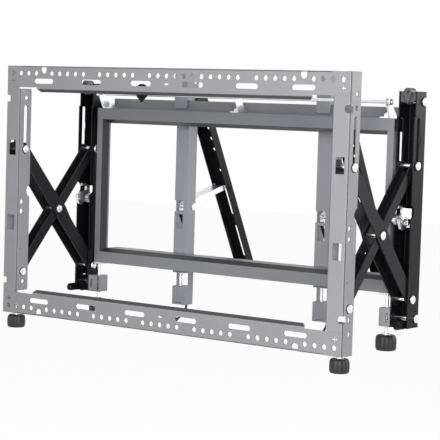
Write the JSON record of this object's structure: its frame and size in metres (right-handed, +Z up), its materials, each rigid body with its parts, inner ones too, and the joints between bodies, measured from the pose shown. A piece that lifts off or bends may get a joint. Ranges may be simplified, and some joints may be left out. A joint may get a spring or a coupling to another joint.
{
  "type": "pop-out video wall mount",
  "caption": "Pop-out wall mount for a flat display: perforated wall frame, scissor arms, display frame with hook-on tilting brackets.",
  "frame": {"origin": "centre of the four corner slots of the wall frame, on the wall plane", "axes": "+X along the wall to the right seen from the wall side of the picture, +Y away from the wall towards the display, +Z up"},
  "size_m": [0.7094, 0.4447, 0.452],
  "materials": {
    "black_steel": "black powder coat",
    "grey_steel": "black powder coat, satin",
    "zinc": "bright zinc plate",
    "black_plastic": "moulded, matt"
  },
  "bodies": {
    "wall_frame": {"wall_top_rail": "black_steel", "wall_bottom_rail": "black_steel", "wall_left_post": "black_steel", "wall_right_post": "black_steel", "foot_blocks": "black_steel", "rail_tab": "black_plastic", "left_wall_pivot": "zinc", "right_wall_pivot": "zinc"},
    "front_left_knob": {"front_left_knob": "black_plastic"},
    "left_inner_arm": {"left_inner_arm": "black_steel", "left_carrier_slide_pin": "zinc"},
    "left_outer_arm": {"left_outer_arm": "black_steel", "left_centre_pin": "zinc", "left_wall_slide_pin": "zinc"},
    "rear_left_knob": {"rear_left_knob": "black_plastic"},
    "left_latch_pawl": {"left_latch_pawl": "zinc"},
    "left_display_bracket": {"left_display_bracket": "black_steel"},
    "left_tilt_strut": {"left_tilt_strut": "zinc"},
    "left_release_lever": {"left_release_lever": "black_plastic"},
    "front_right_knob": {"front_right_knob": "black_plastic"},
    "right_inner_arm": {"right_inner_arm": "black_steel", "right_carrier_slide_pin": "zinc"},
    "right_outer_arm": {"right_outer_arm": "black_steel", "right_centre_pin": "zinc", "right_wall_slide_pin": "zinc"},
    "rear_right_knob": {"rear_right_knob": "black_plastic"},
    "right_latch_pawl": {"right_latch_pawl": "zinc"},
    "right_display_bracket": {"right_display_bracket": "black_steel"},
    "right_tilt_strut": {"right_tilt_strut": "zinc"},
    "right_release_lever": {"right_release_lever": "black_plastic"},
    "display_frame": {"left_carrier_pivot": "zinc", "right_carrier_pivot": "zinc", "carrier_top_rail": "grey_steel", "carrier_bottom_rail": "grey_steel", "carrier_left_stile": "grey_steel", "carrier_right_stile": "grey_steel", "hanging_rail": "black_steel", "left_side_channel": "black_steel", "right_side_channel": "black_steel", "guide_blocks": "black_plastic", "channel_bolts": "zinc", "top_bosses": "black_plastic", "bottom_lugs": "black_plastic", "corner_blocks": "black_steel", "stud_plates": "zinc", "left_latch_base": "black_plastic", "right_latch_base": "black_plastic", "left_latch_jaw": "zinc", "right_latch_jaw": "zinc", "latch_pins": "zinc", "locking_rod": "zinc", "rod_brackets": "zinc", "rod_bracket_nuts": "zinc", "left_upright": "grey_steel", "right_upright": "grey_steel", "strut_catches": "black_plastic", "left_height_screw": "zinc", "right_height_screw": "zinc", "bracket_hinge_pins": "black_steel", "strut_pins": "zinc"}
  },
  "joints": [
    {"name": "pop_out", "type": "hinge", "parent": "wall_frame", "child": "left_inner_arm", "pos_m": [-0.334, 0.015, -0.141], "axis": [1, 0, 0], "range_deg": [0, 35.34]},
    {"name": "left_cross", "type": "hinge", "parent": "left_inner_arm", "child": "left_outer_arm", "pos_m": [-0.334, 0.107, -0.03547], "axis": [1, 0, 0], "range_deg": [-70.89, 0.2]},
    {"name": "left_frame_pivot", "type": "hinge", "parent": "left_outer_arm", "child": "display_frame", "pos_m": [-0.334, 0.199, -0.141], "axis": [1, 0, 0], "range_deg": [-0.2, 35.54]},
    {"name": "right_fold", "type": "hinge", "parent": "wall_frame", "child": "right_inner_arm", "pos_m": [0.334, 0.015, -0.141], "axis": [1, 0, 0], "range_deg": [-0.2, 35.54]},
    {"name": "right_cross", "type": "hinge", "parent": "right_inner_arm", "child": "right_outer_arm", "pos_m": [0.334, 0.107, -0.03547], "axis": [1, 0, 0], "range_deg": [-70.89, 0.2]},
    {"name": "front_left_knob_turn", "type": "hinge", "parent": "wall_frame", "child": "front_left_knob", "pos_m": [-0.334, 0.0192, -0.2285], "axis": [0, 0, 1], "continuous": true},
    {"name": "rear_left_knob_turn", "type": "hinge", "parent": "display_frame", "child": "rear_left_knob", "pos_m": [-0.304, 0.201, -0.2125], "axis": [0, 0, 1], "continuous": true},
    {"name": "left_latch_turn", "type": "hinge", "parent": "display_frame", "child": "left_latch_pawl", "pos_m": [-0.334, 0.195, -0.0182], "axis": [1, 0, 0], "range_deg": [-38, 0], "stiffness_Nm_per_rad": 0.02, "springref_deg": 17.19},
    {"name": "left_bracket_tilt", "type": "hinge", "parent": "display_frame", "child": "left_display_bracket", "pos_m": [-0.15, 0.2583, 0.16], "axis": [1, 0, 0], "range_deg": [-27.4, 0]},
    {"name": "left_strut_turn", "type": "hinge", "parent": "display_frame", "child": "left_tilt_strut", "pos_m": [-0.15, 0.2573, -0.026], "axis": [1, 0, 0], "range_deg": [-114.2, 0.2]},
    {"name": "left_lever_pull", "type": "hinge", "parent": "display_frame", "child": "left_release_lever", "pos_m": [-0.15, 0.2563, -0.194], "axis": [1, 0, 0], "range_deg": [0, 25], "stiffness_Nm_per_rad": 0.03, "springref_deg": -17.19},
    {"name": "front_right_knob_turn", "type": "hinge", "parent": "wall_frame", "child": "front_right_knob", "pos_m": [0.334, 0.0192, -0.2285], "axis": [0, 0, 1], "continuous": true},
    {"name": "rear_right_knob_turn", "type": "hinge", "parent": "display_frame", "child": "rear_right_knob", "pos_m": [0.304, 0.201, -0.2125], "axis": [0, 0, 1], "continuous": true},
    {"name": "right_latch_turn", "type": "hinge", "parent": "display_frame", "child": "right_latch_pawl", "pos_m": [0.334, 0.195, -0.0182], "axis": [1, 0, 0], "range_deg": [-38, 0], "stiffness_Nm_per_rad": 0.02, "springref_deg": 17.19},
    {"name": "right_bracket_tilt", "type": "hinge", "parent": "display_frame", "child": "right_display_bracket", "pos_m": [0.15, 0.2583, 0.16], "axis": [1, 0, 0], "range_deg": [-27.4, 0]},
    {"name": "right_strut_turn", "type": "hinge", "parent": "display_frame", "child": "right_tilt_strut", "pos_m": [0.15, 0.2573, -0.026], "axis": [1, 0, 0], "range_deg": [-114.2, 0.2]},
    {"name": "right_lever_pull", "type": "hinge", "parent": "display_frame", "child": "right_release_lever", "pos_m": [0.15, 0.2563, -0.194], "axis": [1, 0, 0], "range_deg": [0, 25], "stiffness_Nm_per_rad": 0.03, "springref_deg": -17.19}
  ],
  "couplings": [
    {"joint": "left_cross", "follows": "pop_out", "ratio": -2},
    {"joint": "left_frame_pivot", "follows": "pop_out", "ratio": 1},
    {"joint": "right_fold", "follows": "pop_out", "ratio": 1},
    {"joint": "right_cross", "follows": "pop_out", "ratio": -2},
    {"joint": "left_strut_turn", "follows": "left_bracket_tilt", "ratio": 4.1606},
    {"joint": "right_strut_turn", "follows": "right_bracket_tilt", "ratio": 4.1606}
  ]
}
